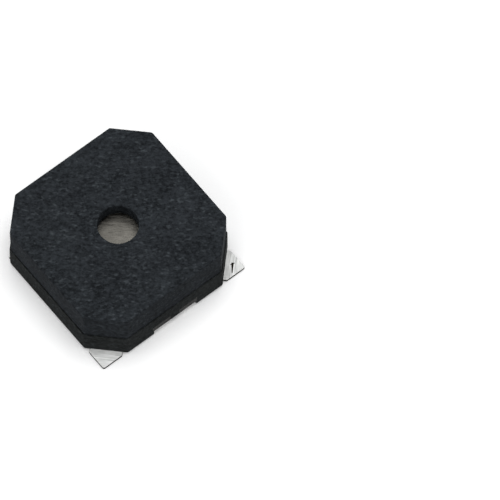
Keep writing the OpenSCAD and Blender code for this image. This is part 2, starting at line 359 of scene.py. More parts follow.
@contextmanager
def editing(mesh):
    """Opens a mesh for changes, and writes them back."""
    work = bmesh.new()
    work.from_mesh(mesh)
    yield work
    work.to_mesh(mesh)
    work.free()


def new_mesh(name, solid):
    """A mesh of a solid, with its faces looking outwards."""
    mesh = bpy.data.meshes.new(name)
    mesh.from_pydata([tuple(p) for p in solid[0]], [], solid[1])
    with editing(mesh) as work:
        bmesh.ops.recalc_face_normals(work, faces=work.faces)
    return mesh


def placed(name, data):
    """A new object in the scene."""
    made = bpy.data.objects.new(name, data)
    bpy.context.scene.collection.objects.link(made)
    return made


def settled(made):
    """The mesh of a working object after its modifiers; the object goes."""
    made.data.update()
    bpy.context.view_layer.update()
    evaluated = made.evaluated_get(bpy.context.evaluated_depsgraph_get())
    mesh = bpy.data.meshes.new_from_object(evaluated)
    dropped(made)
    return mesh


def dropped(made):
    """Takes a working object and its mesh away."""
    spare = made.data
    bpy.data.objects.remove(made)
    bpy.data.meshes.remove(spare)


ADD, CUT = "UNION", "DIFFERENCE"


def stepped(mesh, steps):
    """A mesh after solids are added to it or cut out of it, in order."""
    made = placed(mesh.name, mesh)
    tools = []
    for operation, solid in steps:
        tools.append(placed("tool", new_mesh("tool", solid)))
        step = made.modifiers.new("step", "BOOLEAN")
        step.operation, step.solver, step.object = operation, "EXACT", tools[-1]
    result = settled(made)
    for tool in tools:
        dropped(tool)
    return result


MERGE_DISTANCE = 1e-4  # points closer than this, in millimetres, are one
FLAT_ANGLE = math.radians(0.5)  # faces that meet flatter than this are one
EDGE_ANGLE = math.radians(34)  # edges sharper than this are broken


def carved(name, body, steps, bevel):
    """A mesh of a body after ordered steps of adding and cutting, its edges broken."""
    solid_mesh = stepped(new_mesh(name, body), steps)
    with editing(solid_mesh) as work:
        bmesh.ops.remove_doubles(work, verts=work.verts, dist=MERGE_DISTANCE)
        bmesh.ops.dissolve_limit(work, angle_limit=FLAT_ANGLE, verts=work.verts, edges=work.edges)
        open_edges = sum(len(e.link_faces) != 2 for e in work.edges)
    if open_edges:
        raise RuntimeError(f"{name} isn't closed at {open_edges} edges")
    made = placed(name, solid_mesh)
    solid_mesh.shade_smooth()
    step = made.modifiers.new("edges", "BEVEL")
    step.width, step.segments = bevel, 2
    step.limit_method, step.angle_limit = "ANGLE", EDGE_ANGLE
    step.use_clamp_overlap = False
    step.miter_outer = "MITER_ARC"
    step = made.modifiers.new("shading", "WEIGHTED_NORMAL")
    step.keep_sharp, step.weight = True, 100
    return settled(made)


def make_piece(name, mesh, node, finishes, sharp=40, turn=0):
    """Makes a mesh in millimetres a piece that stands for a node."""
    mesh.transform(Matrix.Rotation(math.radians(turn), 4, "Z") @ Matrix.Scale(MM, 4))
    mesh.name = name
    if sharp:
        mesh.shade_smooth()
        mesh.set_sharp_from_angle(angle=math.radians(sharp))
    for place, finish in enumerate(finishes):
        if place < len(mesh.materials):
            mesh.materials[place] = finish
        else:
            mesh.materials.append(finish)
    piece = placed(name, mesh)
    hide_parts(node)
    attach(piece, BODY)


# -------------------------------------------------------------------- materials


def add_node(tree, kind, inputs=None, output=0, **settings):
    """Adds a shader node, sets it up, sets or links its inputs, and gives an output."""
    made = tree.nodes.new("ShaderNode" + kind)
    for name, value in settings.items():
        setattr(made, name, value)
    for key, value in (inputs or {}).items():
        if isinstance(value, bpy.types.NodeSocket):
            tree.links.new(value, made.inputs[key])
        else:
            made.inputs[key].default_value = value
    return made.outputs[output] if made.outputs else None


def new_material(name):
    """An empty node material, and add_node for its tree."""
    made = bpy.data.materials.new(name)
    made.use_nodes = True
    made.node_tree.nodes.clear()
    return made, partial(add_node, made.node_tree)


def millimetre_grid(node, direction=0.0, stretch=(1, 1, 1)):
    """Object coordinates in millimetres, turned about Z and stretched."""
    place = node("TexCoord", output="Object")
    grid = node("Mapping", {
        "Vector": place, "Rotation": (0, 0, -direction), "Scale": (1 / MM,) * 3})
    return node("VectorMath", {0: grid, 1: tuple(1 / s for s in stretch)},
                operation="MULTIPLY")


def colours():
    """The colour properties."""
    return bpy.context.scene.buzzer_colours


def shade(value, factor=1.0):
    """A colour with alpha, made lighter or darker by a factor."""
    return tuple(min(1.0, c * factor) for c in value) + (1,)


# Sizes that the moulded skin's patterns are drawn at, in millimetres, and the
# direction in which the plastic flowed.
FIBRE_SIZE = (0.21, 0.12, 0.12)
MOTTLE_SIZE = (0.2, 0.13, 0.13)
MOULD_GRAIN = 0.05
FLOW_PATCH = 1.4
FLOW_DIRECTION = math.radians(-38.5)


def moulded_lcp(name, body_colour, fleck_share):
    """Glass-filled LCP, injection moulded."""
    # Matt black with a spark-eroded grain. Short glass fibres lie just under the
    # skin: they mottle it in soft greys along the flow, and a few show as pale
    # flecks. The real grain is about 0.02 mm and is drawn coarser, so that it shows.
    made, node = new_material(name)
    even = millimetre_grid(node, FLOW_DIRECTION)
    along = millimetre_grid(node, FLOW_DIRECTION, MOTTLE_SIZE)
    fibre_grid = millimetre_grid(node, FLOW_DIRECTION, FIBRE_SIZE)
    patches, grain, mottle, fibres = (
        node("TexNoise", inputs)
        for inputs in (
            {"Vector": even, "Scale": 1 / FLOW_PATCH, "Detail": 3.0, "Roughness": 0.55},
            {"Vector": even, "Scale": 1 / MOULD_GRAIN, "Detail": 2.0, "Roughness": 0.6},
            {"Vector": along, "Scale": 1.0, "Detail": 3.0, "Roughness": 0.7},
            {"Vector": fibre_grid, "Scale": 1.0, "Detail": 1.0, "Roughness": 0.4,
             "Distortion": 0.2},
        )
    )
    tone = mottle
    for pattern, share in ((patches, 0.35), (grain, 0.3)):
        tone = node("Math", {0: pattern, 1: share, 2: tone}, operation="MULTIPLY_ADD")
    depth = node("MapRange", {
        "Value": tone, "From Min": 0.65, "From Max": 1.0, "To Min": 0.0, "To Max": 1.0})
    skin = node("Mix", {0: depth, 6: shade(body_colour, 0.45), 7: shade(body_colour, 1.53)},
                output=2, data_type="RGBA")
    shown = node("MapRange", {
        "Value": fibres, "From Min": 0.55, "From Max": 0.85, "To Min": 0.0,
        "To Max": fleck_share}, interpolation_type="SMOOTHSTEP")
    final = node("Mix", {0: shown, 6: skin, 7: shade(colours().fleck)},
                 output=2, data_type="RGBA")
    roughness = node("MapRange", {
        "Value": grain, "From Min": 0.3, "From Max": 0.7, "To Min": 0.55, "To Max": 0.78})
    relief = node("Bump", {"Height": grain, "Distance": 0.012 * MM, "Strength": 0.7})
    relief = node("Bump", {
        "Height": mottle, "Distance": 0.03 * MM, "Strength": 0.4, "Normal": relief})
    surface = node("BsdfPrincipled", {
        "Base Color": final, "Roughness": roughness, "IOR": 1.5, "Specular IOR Level": 0.012,
        "Normal": relief})
    node("OutputMaterial", {"Surface": surface})
    return made


SCRATCH_SIZE = (0.06, 1.2, 1.0)
STAIN_SIZE = 0.5
WARPS_PER_MM = 0.7


def matt_tinned_brass():
    """Matt tin, plated on stamped sheet brass."""
    # Bright silver-white with a satin sheen, long curved stamping scratches and
    # slightly greyer patches where it was handled.
    made, node = new_material("matt_tinned_brass")
    tin = colours().tin
    sheet = node("UVMap", uv_map="sheet")
    warp = node("TexNoise", {"Vector": sheet, "Scale": WARPS_PER_MM, "Detail": 1.0}, output=1)
    bent = node("VectorMath", {0: warp, 1: (0.15, 0.1, 0.0), 2: sheet}, operation="MULTIPLY_ADD")
    long = node("VectorMath", {0: bent, 1: tuple(1 / s for s in SCRATCH_SIZE)},
                operation="MULTIPLY")
    scratches = node("TexNoise", {"Vector": long, "Scale": 1.0, "Detail": 2.0})
    stains = node("TexNoise", {
        "Vector": sheet, "Scale": 1 / STAIN_SIZE, "Detail": 3.0, "Roughness": 0.6})
    both = node("Math", {0: stains, 1: 0.5, 2: scratches}, operation="MULTIPLY_ADD")
    greyed = node("MapRange", {
        "Value": both, "From Min": 0.6, "From Max": 0.95, "To Min": 0.0, "To Max": 1.0})
    base = node("Mix", {0: greyed, 6: shade(tin), 7: shade(tin, 0.8)}, output=2, data_type="RGBA")
    roughness = node("MapRange", {
        "Value": scratches, "From Min": 0.3, "From Max": 0.7, "To Min": 0.68, "To Max": 0.88})
    relief = node("Bump", {"Height": scratches, "Distance": 0.006 * MM, "Strength": 0.6})
    surface = node("BsdfPrincipled", {
        "Base Color": base, "Metallic": 1.0, "Roughness": roughness, "Normal": relief})
    node("OutputMaterial", {"Surface": surface})
    return made


def worked_metal(name, metal, mark, roughness, relief, direction=0.0, dark=0.7, film=0.0):
    """Bare or plated metal with the marks of its rolling or shearing."""
    # Marks, of a length and a width in millimetres, run one way: longer than wide
    # where the metal was rolled, upright where it was sheared. They break up the
    # gloss and the tone along their length. A film of oxide and oil, a share of 1,
    # dulls a cut end so that it hardly mirrors light.
    made, node = new_material(name)
    along = millimetre_grid(node, direction, (mark[0], mark[1], mark[1]))
    even = millimetre_grid(node)
    marks = node("TexNoise", {"Vector": along, "Scale": 1.0, "Detail": 2.5, "Roughness": 0.6})
    blotches = node("TexNoise", {"Vector": even, "Scale": 1 / (mark[0] * 0.8), "Detail": 3.0})
    both = node("Math", {0: blotches, 1: 0.5, 2: marks}, operation="MULTIPLY_ADD")
    tone = node("MapRange", {
        "Value": both, "From Min": 0.55, "From Max": 0.95, "To Min": 0.0, "To Max": 1.0})
    base = node("Mix", {0: tone, 6: shade(metal, dark), 7: shade(metal, 2 - dark)},
                output=2, data_type="RGBA")
    gloss = node("MapRange", {
        "Value": marks, "From Min": 0.3, "From Max": 0.7, "To Min": roughness * 0.8,
        "To Max": roughness * 1.25})
    raised = node("Bump", {"Height": marks, "Distance": relief * MM, "Strength": 0.6})
    surface = node("BsdfPrincipled", {
        "Base Color": base, "Metallic": 1.0 - film, "Roughness": gloss,
        "Specular IOR Level": 0.5 * (1.0 - film), "Normal": raised})
    node("OutputMaterial", {"Surface": surface})
    return made


TOOL_RINGS_PER_MM, SPECKS_PER_MM = 3.0, 6.0


def turned_soft_iron():
    """Soft iron, turned to shape and annealed."""
    # Grey metal with fine rings from the tool on its end face and round its side.
    # The real rings are finer and are drawn coarse enough to show.
    made, node = new_material("turned_soft_iron")
    iron = colours().soft_iron
    grid = millimetre_grid(node)
    rings = node("TexWave", {
        "Vector": grid, "Scale": TOOL_RINGS_PER_MM, "Distortion": 0.6, "Detail": 2.0},
        output=1, wave_type="RINGS", rings_direction="SPHERICAL")
    specks = node("TexNoise", {"Vector": grid, "Scale": SPECKS_PER_MM, "Detail": 3.0})
    base = node("Mix", {0: specks, 6: shade(iron, 0.75), 7: shade(iron, 1.15)},
                output=2, data_type="RGBA")
    relief = node("Bump", {"Height": rings, "Distance": 0.004 * MM, "Strength": 0.5})
    surface = node("BsdfPrincipled", {
        "Base Color": base, "Metallic": 1.0, "Roughness": 0.38, "Normal": relief})
    node("OutputMaterial", {"Surface": surface})
    return made


POWDER_GRAINS_PER_MM = 9.0


def bonded_magnet():
    """Magnet powder bonded with epoxy and pressed."""
    # Dark grey with small glinting grains and pinholes between them.
    made, node = new_material("pressed_bonded_magnet")
    magnet = colours().magnet
    grid = millimetre_grid(node)
    grains = node("TexVoronoi", {"Vector": grid, "Scale": POWDER_GRAINS_PER_MM},
                  output="Distance")
    tone = node("Mix", {0: grains, 6: shade(magnet, 1.5), 7: shade(magnet, 0.55)},
                output=2, data_type="RGBA")
    metal = node("MapRange", {
        "Value": grains, "From Min": 0.2, "From Max": 0.6, "To Min": 0.8, "To Max": 0.2})
    relief = node("Bump", {"Height": grains, "Distance": 0.01 * MM, "Strength": 0.5})
    surface = node("BsdfPrincipled", {
        "Base Color": tone, "Metallic": metal, "Roughness": 0.5, "Normal": relief})
    node("OutputMaterial", {"Surface": surface})
    return made


CLOUDS_PER_MM, BUBBLES_PER_MM = 2.5, 5.0


def cured_epoxy():
    """One-part epoxy, cured."""
    # Honey-coloured and glossy, a little cloudy, with small bubbles in it.
    made, node = new_material("cured_epoxy")
    glue = colours().glue
    grid = millimetre_grid(node)
    cloud = node("TexNoise", {"Vector": grid, "Scale": CLOUDS_PER_MM, "Detail": 3.0})
    bubbles = node("TexVoronoi", {"Vector": grid, "Scale": BUBBLES_PER_MM})
    tone = node("Mix", {0: cloud, 6: shade(glue, 0.7), 7: shade(glue, 1.2)},
                output=2, data_type="RGBA")
    relief = node("Bump", {"Height": bubbles, "Distance": 0.01 * MM, "Strength": 0.3})
    surface = node("BsdfPrincipled", {
        "Base Color": tone, "Roughness": 0.22, "IOR": 1.55, "Subsurface Weight": 0.15,
        "Subsurface Scale": 0.1 * MM, "Normal": relief})
    node("OutputMaterial", {"Surface": surface})
    return made


TINTS_PER_MM = 3.0


def enamelled_copper():
    """Copper wire with a clear polyurethane enamel."""
    # Warm copper under a thin glossy film that is a little darker in patches.
    made, node = new_material("enamelled_copper")
    enamel = colours().enamel
    grid = millimetre_grid(node)
    tint = node("TexNoise", {"Vector": grid, "Scale": TINTS_PER_MM, "Detail": 2.0})
    tone = node("Mix", {0: tint, 6: shade(enamel, 0.7), 7: shade(enamel, 1.3)},
                output=2, data_type="RGBA")
    surface = node("BsdfPrincipled", {
        "Base Color": tone, "Metallic": 0.9, "Roughness": 0.3, "Coat Weight": 0.6,
        "Coat Roughness": 0.12})
    node("OutputMaterial", {"Surface": surface})
    return made


FROST_PER_MM = 14.0


def reflowed_solder():
    """Lead-free solder, melted and set."""
    # Bright grey metal with a slightly frosted, grainy skin.
    made, node = new_material("reflowed_solder")
    solder = colours().solder
    grid = millimetre_grid(node)
    frost = node("TexNoise", {"Vector": grid, "Scale": FROST_PER_MM, "Detail": 3.0})
    tone = node("Mix", {0: frost, 6: shade(solder, 0.8), 7: shade(solder, 1.1)},
                output=2, data_type="RGBA")
    gloss = node("MapRange", {
        "Value": frost, "From Min": 0.3, "From Max": 0.7, "To Min": 0.2, "To Max": 0.42})
    relief = node("Bump", {"Height": frost, "Distance": 0.006 * MM, "Strength": 0.5})
    surface = node("BsdfPrincipled", {
        "Base Color": tone, "Metallic": 1.0, "Roughness": gloss, "Normal": relief})
    node("OutputMaterial", {"Surface": surface})
    return made


# ------------------------------------------------------------------- the pieces

# The cover's mesh: its outline's longest side, in mm, and the numbers of rows up its
# wall, round its top edge and across its top.
OUTLINE_SPACING = 0.22
WALL_ROWS, EDGE_ROWS, TOP_ROWS = 6, 5, 14
# Inner radii of the cover, in mm: at the hole's upper edge and the bore's mouth, at
# the other corners, and in the corner of the sound chamber.
HOLE_RADIUS, INNER_RADIUS, CHAMBER_RADIUS = 0.04, 0.03, 0.15
EDGE_SHARE = 0.3  # how far the middle of a small edge stands in, as a share of its radius


class BUZZER_OT_cover(Operator):
    """Make the cover: an octagonal cap with the sound hole over its chamber"""

    bl_idname = "buzzer.cover"
    bl_label = "Cover"

    def execute(self, context):
        width, base_width, cut, radius, edge, small, hole, roof, bore, chamber, gap = in_mm(
            context.scene.buzzer_case,
            "cover_width base_width corner_cut corner_radius edge_radius small_radius"
            " hole_diameter roof bore chamber ledge_clear")
        cut -= (2 - ROOT2) * (base_width - width) / 2
        low, high = bottom("cover"), top("cover")
        roof_z, ledge = high - roof, top("diaphragm") + gap
        plain = octagon(width, cut, radius)
        parts = side_parts(plain, OUTLINE_SPACING)
        bearings = [math.atan2(y, x) for x, y in spread(plain, parts)]

        def outline(inset, z):
            return at_height(spread(octagon(width, cut, radius, inset), parts), z)

        def ring(r, z):
            return [(r * math.cos(a), r * math.sin(a), z) for a in bearings]

        share = small * EDGE_SHARE
        rings = [outline(small, low), outline(share, low + share), outline(0, low + small)]
        for k in range(1, WALL_ROWS + 1):
            rings.append(outline(0, low + small + (high - edge - low - small) * k / WALL_ROWS))
        for k in range(1, EDGE_ROWS + 1):
            a = RIGHT_ANGLE * k / EDGE_ROWS
            rings.append(outline(edge * (1 - math.cos(a)), high - edge + edge * math.sin(a)))
        mouth = hole / 2 + HOLE_RADIUS
        outer, inner = rings[-1], ring(mouth, high)
        for k in range(1, TOP_ROWS):
            lines = zip(outer, inner)
            rings.append([tuple(Vector(p).lerp(Vector(q), k / TOP_ROWS)) for p, q in lines])
        inside = fillet([
            (mouth, high, 0),
            (hole / 2, high, HOLE_RADIUS),
            (hole / 2, roof_z, INNER_RADIUS),
            (chamber / 2, roof_z, CHAMBER_RADIUS),
            (chamber / 2, ledge, INNER_RADIUS),
            (bore / 2, ledge, INNER_RADIUS),
            (bore / 2, low + HOLE_RADIUS, 0),
            (bore / 2 + HOLE_RADIUS, low, 0),
        ])
        rings += [ring(r, z) for r, z in inside[1:]]
        mesh = new_mesh("cover", loft(rings, closed=True))
        # The cover's colour carries a painted cool cast of the light from above.
        finish = moulded_lcp("moulded_lcp_cover", colours().cover, fleck_share=0.36)
        make_piece("cover_moulding", mesh, "cover", [finish])
        return {"FINISHED"}


def point_place(sizes):
    """Distance from the middle to a spade foot's square point."""
    return (span("base") / 2 - sizes.point_inset / MM) * ROOT2


def foot_outline(sizes, marker, grow):
    """A foot seen from above, from its root out: the marker's, or a spade's point."""
    width, radius, root, end = in_mm(sizes, "width corner_radius root marker")
    half = width / 2 + grow
    if marker:
        return fillet([(root, -half, 0), (end + grow, -half, radius),
                       (end + grow, half, radius), (root, half, 0)])
    tip = point_place(sizes) + grow * ROOT2
    side = tip - half
    return fillet([(root, -half, 0), (side, -half, radius), (tip, 0, radius),
                   (side, half, radius), (root, half, 0)])


class BUZZER_OT_base(Operator):
    """Make the base: the block with its rim, pockets, notches and recesses"""

    bl_idname = "buzzer.base"
    bl_label = "Base"

    def execute(self, context):
        scene = context.scene
        width, cut, radius, edge, small, rim, rim_bore = in_mm(
            scene.buzzer_case,
            "base_width corner_cut corner_radius edge_radius small_radius rim rim_bore")
        low, seat, joint = bottom("base"), top("base"), bottom("cover")
        yoke_low, yoke_high = bottom("yoke_plate"), top("yoke_plate")
        rings = []
        edge_rows = 3
        for k in range(edge_rows + 1):
            a = RIGHT_ANGLE * k / edge_rows
            inset, z = edge * (1 - math.sin(a)), low + edge * (1 - math.cos(a))
            rings.append(at_height(octagon(width, cut, radius, inset), z))
        rings.append(at_height(octagon(width, cut, radius), joint))
        body = loft(rings, capped=True)

        # The pockets are cut first, then the rim is added, and the rest cuts both.
        first, after = self.terminal_cuts(scene, low, joint, rim, rim_bore)
        after += self.underside_cuts(scene, width, low, yoke_low, yoke_high)
        yoke_radius = scene.buzzer_circuit.yoke / MM / 2
        after.append(prism(circle(yoke_radius), yoke_low, yoke_high))
        after.append(prism(circle(rim_bore / 2), yoke_high - OVER / 2, seat + OVER))
        steps = [(CUT, solid) for solid in first]
        steps.append((ADD, prism(circle(rim / 2), joint, seat)))
        steps += [(CUT, solid) for solid in after]
        mesh = carved("base", body, steps, small)
        finish = moulded_lcp("moulded_lcp_base", colours().base, fleck_share=0.3)
        make_piece("base_moulding", mesh, "base", [finish], sharp=None)
        return {"FINISHED"}

    def terminal_cuts(self, scene, low, joint, rim, rim_bore):
        """What the terminals need: pockets for the pads first, the other cuts after."""
        legs = scene.buzzer_terminals
        thickness, leg_width, root, pad, pad_top, bend, foot_clear, pad_clear = in_mm(
            legs, "thickness width root pad pad_top bend_radius foot_clear pad_clear")
        window, window_top = in_mm(scene.buzzer_underside, "window window_top")
        half, outer_bend = leg_width / 2, bend + thickness
        first, after = [], []
        for corner in (PLAIN_CORNER, LIVE_CORNER_1, LIVE_CORNER_2, MARKER_CORNER):
            for outline, z_high in (
                (foot_outline(legs, corner == MARKER_CORNER, foot_clear), thickness),
                (rectangle(root, root + thickness, -half, half), pad_top),
                (rectangle(root, root + outer_bend, -half, half), outer_bend),
            ):
                after.append(prism(turned_by(outline, corner), low - OVER, z_high))
        for corner in (LIVE_CORNER_1, LIVE_CORNER_2):
            pocket = rectangle(pad, root, -half - pad_clear, half + pad_clear)
            lip = rectangle(root - OVER, root + thickness, -half, half)
            first.append(prism(turned_by(pocket, corner), pad_top - thickness, joint + OVER))
            first.append(prism(turned_by(lip, corner), pad_top, joint + OVER))
            opening = rectangle(rim_bore / 2 - OVER / 4, rim / 2 + OVER, -window / 2, window / 2)
            after.append(prism(turned_by(opening, corner), pad_top, window_top))
        return first, after

    def underside_cuts(self, scene, width, low, yoke_low, yoke_high):
        """The notches with their recesses and webs, the stubs' channels and the holes."""
        notch, pitch, notch_length, notch_radius, recess, back, stub = in_mm(
            scene.buzzer_underside,
            "notch_width notch_pitch notch_length notch_radius recess web_back stub_width")
        hole, hole_inner, hole_pitch = in_mm(
            scene.buzzer_underside, "locating locating_inner locating_pitch")
        widening = (hole - hole_inner) * OVER / (yoke_low - low)
        side, out = width / 2, width / 2 + OVER
        inner = side - notch_length
        wide = (pitch + notch) / 2
        cuts = []
        for turn in (0, 180):
            shallow = rectangle(-wide, wide, inner - notch_radius / 2, out)
            web = rectangle(-pitch / 2, pitch / 2, side - back, out)
            cuts.append(prism(turned_by(shallow, turn), low - OVER, low + recess))
            cuts.append(prism(turned_by(web, turn), low - OVER, yoke_low))
            for x in (-pitch / 2, pitch / 2):
                left, right = x - notch / 2, x + notch / 2
                opening = fillet([(left, inner, notch_radius), (right, inner, notch_radius),
                                  (right, out, 0), (left, out, 0)])
                channel = rectangle(x - stub / 2, x + stub / 2, side / 2, out)
                cuts.append(prism(turned_by(opening, turn), low - OVER, yoke_low + OVER))
                cuts.append(prism(turned_by(channel, turn), yoke_low, yoke_high))
            taper = []
            for diameter, z in ((hole + widening, low - OVER), (hole_inner, yoke_low)):
                ring = circle(diameter / 2, 48, (hole_pitch / 2, 0))
                taper.append(at_height(turned_by(ring, turn), z))
            cuts.append(loft(taper, capped=True))
        return cuts


BEND_STEPS, PAD_BEND_STEPS, BURR_STEPS = 10, 8, 4


def bent_strip(sizes, live, marker):
    """A terminal in its corner's own directions, with its flat layout kept as UV."""
    thickness, width, radius, bend, burr, pad, root, marker_end, pad_top = in_mm(
        sizes, "thickness width corner_radius bend_radius burr_radius pad root marker pad_top")
    point = point_place(sizes)
    outer, middle, half = bend + thickness, bend + thickness / 2, width / 2
    arc = middle * RIGHT_ANGLE
    foot_start = root + outer
    riser_end = foot_start - arc
    riser_start = riser_end - (pad_top - outer - (outer if live else 0))
    pad_end = riser_start - arc
    knee = root + thickness - outer
    start = pad_end - (knee - pad) if live else riser_start

    def fold(s, h):
        """Where a point of the flat layout lies after bending: distance out, height."""
        if s >= foot_start:
            return s, thickness / 2 + h
        if s >= riser_end:
            a = (s - riser_end) / middle
            reach = middle - h
            return root + outer - reach * math.cos(a), outer - reach * math.sin(a)
        if s >= riser_start:
            return root + thickness / 2 + h, outer + riser_end - s
        if s >= pad_end:
            a = (s - pad_end) / middle
            reach = middle + h
            return knee + reach * math.sin(a), pad_top - outer + reach * math.cos(a)
        return knee - (pad_end - s), pad_top - thickness / 2 + h

    stops = [start, foot_start, foot_start + OVER / 2, riser_start]
    stops += [riser_end + arc * k / BEND_STEPS for k in range(BEND_STEPS)]
    if live:
        stops += [pad_end + arc * k / PAD_BEND_STEPS for k in range(PAD_BEND_STEPS)]
    stops = sorted({round(s, 6) for s in stops if s > start + 1e-6})
    # Half of the outline, each point with its direction outwards, then its mirror.
    edge = [((start, half), (-1, 1))] + [((s, half), (0, 1)) for s in stops]

    def round_corner(s, y, first, parts, count):
        """Adds a corner's points about its centre, from a first direction on."""
        for k in range(count):
            a = first * (1 - k / parts)
            n = (math.cos(a), math.sin(a))
            edge.append(((s + radius * n[0], y + radius * n[1]), n))

    if marker:
        round_corner(marker_end - radius, half - radius, RIGHT_ANGLE, 8, 9)
    else:
        side = point - half - radius * math.tan(RIGHT_ANGLE / 4)
        round_corner(side, half - radius, RIGHT_ANGLE, 10, 6)
        round_corner(point - radius * ROOT2, 0, RIGHT_ANGLE / 2, 6, 7)
    count = len(edge)
    mirrored = [((s, -y), (a, -b)) for (s, y), (a, b) in reversed(edge)]
    edge += mirrored if marker else mirrored[1:]
    total = len(edge)

    level = thickness / 2 - burr
    layers = []
    for k in range(BURR_STEPS + 1):
        a = RIGHT_ANGLE * k / BURR_STEPS
        layers.append((burr * (1 - math.sin(a)), -level - burr * math.cos(a)))
    layers += [(inset, -h) for inset, h in reversed(layers)]
    flat, rings = [], []
    for inset, h in layers:
        ring = []
        for (s, y), (a, b) in edge:
            place = (s - inset * a, y - inset * b)
            u, z = fold(place[0], h)
            ring.append((u, place[1], z))
            flat.append(place)
        rings.append(ring)
    points, faces = loft(rings)
    # The lower corner, the cut face and half of the upper corner take the dark edge finish,
    # partly bare metal and partly painted shadow along the foot's edge.
    kinds = [1 if i // total <= BURR_STEPS + 2 else 0 for i in range(len(faces))]
    for first in (0, len(points) - total):
        for k in range(count - 1):
            corners = dict.fromkeys((k, k + 1, total - 2 - k, total - 1 - k))
            faces.append([first + i for i in corners])
            kinds.append(0)
    mesh = bpy.data.meshes.new("strip")
    mesh.from_pydata(points, [], faces)
    for polygon, kind in zip(mesh.polygons, kinds):
        polygon.material_index = kind
    layer = mesh.uv_layers.new(name="sheet")
    for loop in mesh.loops:
        layer.data[loop.index].uv = flat[loop.vertex_index]
    with editing(mesh) as work:
        bmesh.ops.recalc_face_normals(work, faces=work.faces)
    return mesh


# The stroke stamped in the first live foot: a stem that narrows to its end and a short
# bar across its head. Each end is a distance out, a place across and a width, in mm.
STEM = ((5.315, 0.16, 0.115), (5.353, -0.374, 0.045))
HEAD = ((5.225, 0.035, 0.045), (5.41, 0.16, 0.045))
STROKE_DEPTH = 0.03
STROKE_MERGE = 0.003  # points of the stroke closer than this, in mm, are one


def stamped(mesh, surface):
    """A terminal's mesh with the stroke pressed in; the faces inside the stroke take the dark
    edge finish as painted shade.
    """
    floor = surface - STROKE_DEPTH
    steps = []
    for start, end in (STEM, HEAD):
        a, b = Vector(start[:2]), Vector(end[:2])
        across = (b - a).orthogonal().normalized() / 2
        outline = [a + across * start[2], a - across * start[2]]
        outline += [b - across * end[2], b + across * end[2]]
        steps.append((CUT, prism([tuple(p) for p in outline], floor, surface + OVER)))
    mesh = stepped(mesh, steps)
    with editing(mesh) as work:
        bmesh.ops.remove_doubles(work, verts=work.verts, dist=STROKE_MERGE)
    low, high = STEM[1][1] - STEM[0][2], STEM[0][1] + STEM[0][2]
    # Painted shade: the faces inside the stroke take the dark edge finish.
    for polygon in mesh.polygons:
        x, y, z = polygon.center
        pressed = surface - STROKE_DEPTH * 1.1 < z < surface - STROKE_DEPTH * 0.1
        if pressed and low < y < high and HEAD[0][0] - 0.1 < x < HEAD[1][0] + 0.1:
            polygon.material_index = 1
    return mesh


class BUZZER_OT_terminals(Operator):
    """Make the three spade terminals and the short marker foot"""

    bl_idname = "buzzer.terminals"
    bl_label = "Terminals"

    def execute(self, context):
        sizes = context.scene.buzzer_terminals
        tin = matt_tinned_brass()
        # The dark edge finish: bare brass, darkened further as painted shadow along the edges and
        # in the stamped stroke.
        sheared = worked_metal(
            "brass_edge_painted_shadow", colours().brass_edge_and_shadow, mark=(0.2, 0.03), roughness=0.5,
            relief=0.008, film=0.85)
        for name, node, corner, live in (
            ("spade_terminal_1", "terminal_1", PLAIN_CORNER, False),
            ("spade_terminal_2", "terminal_2", LIVE_CORNER_1, True),
            ("spade_terminal_3", "terminal_3", LIVE_CORNER_2, True),
            ("marker_terminal", "marker_foot", MARKER_CORNER, False),
        ):
            mesh = bent_strip(sizes, live, marker=corner == MARKER_CORNER)
            if corner == LIVE_CORNER_1:
                mesh = stamped(mesh, sizes.thickness / MM)
            make_piece(name, mesh, node, [tin, sheared], sharp=50, turn=corner)
        return {"FINISHED"}


class BUZZER_OT_yoke(Operator):
    """Make the yoke plate with its four sheared stubs, and the pole riveted in it"""

    bl_idname = "buzzer.yoke"
    bl_label = "Yoke and pole"

    def execute(self, context):
        scene = context.scene
        yoke, rivet, pole = in_mm(scene.buzzer_circuit, "yoke rivet pole")
        pitch, stub = in_mm(scene.buzzer_underside, "notch_pitch stub_width")
        side = scene.buzzer_case.base_width / MM / 2
        low, high, tip = bottom("yoke_plate"), top("yoke_plate"), top("pole")
        steps = []
        for turn in (0, 180):
            for x in (-pitch / 2, pitch / 2):
                bar = rectangle(x - stub / 2, x + stub / 2, yoke / 4, side)
                steps.append((ADD, prism(turned_by(bar, turn), low, high)))
        steps.append((CUT, prism(circle(rivet / 2, 64), low - OVER, high + OVER)))
        mesh = carved("yoke", prism(circle(yoke / 2), low, high), steps, bevel=0.02)
        for polygon in mesh.polygons:
            polygon.material_index = 1 if abs(polygon.center.y) > side - 0.01 else 0
        plated = worked_metal(
            "nickel_plated_steel", colours().nickel, mark=(0.9, 0.05), roughness=0.3,
            relief=0.006, dark=0.85)
        # The stubs' cut ends: dark steel, darkened further as painted shade.
        cut_end_and_shade = worked_metal(
            "steel_end_and_shade", colours().steel_end_and_shade, mark=(0.04, 0.12), roughness=0.5,
            relief=0.02, film=0.85)
        finishes = [plated, cut_end_and_shade]
        make_piece("yoke_stamping", mesh, "yoke_plate", finishes, sharp=None)

        profile = fillet([(0, low, 0), (rivet / 2, low, 0.03), (rivet / 2, high, 0),
                          (pole / 2, high, 0), (pole / 2, tip, 0.06), (0, tip, 0)])
        mesh = new_mesh("pole", turned(profile))
        make_piece("pole_piece", mesh, "pole", [turned_soft_iron()])
        return {"FINISHED"}


def lay_glue(name, node, outer, inner, epoxy):
    """Makes a thin ring of glue whose edges wander a little where it was squeezed out."""
    low, high = bottom(node), top(node)

    def wave(point, z):
        return 0.03 * noise.noise(Vector((point[0] * 2.1, point[1] * 2.1, 7.0)))

    ring = ring_solid(outer, inner, low, high, (high - low) * 0.3, steps=2, wave=wave)
    make_piece(name, new_mesh("glue", ring), node, [epoxy])


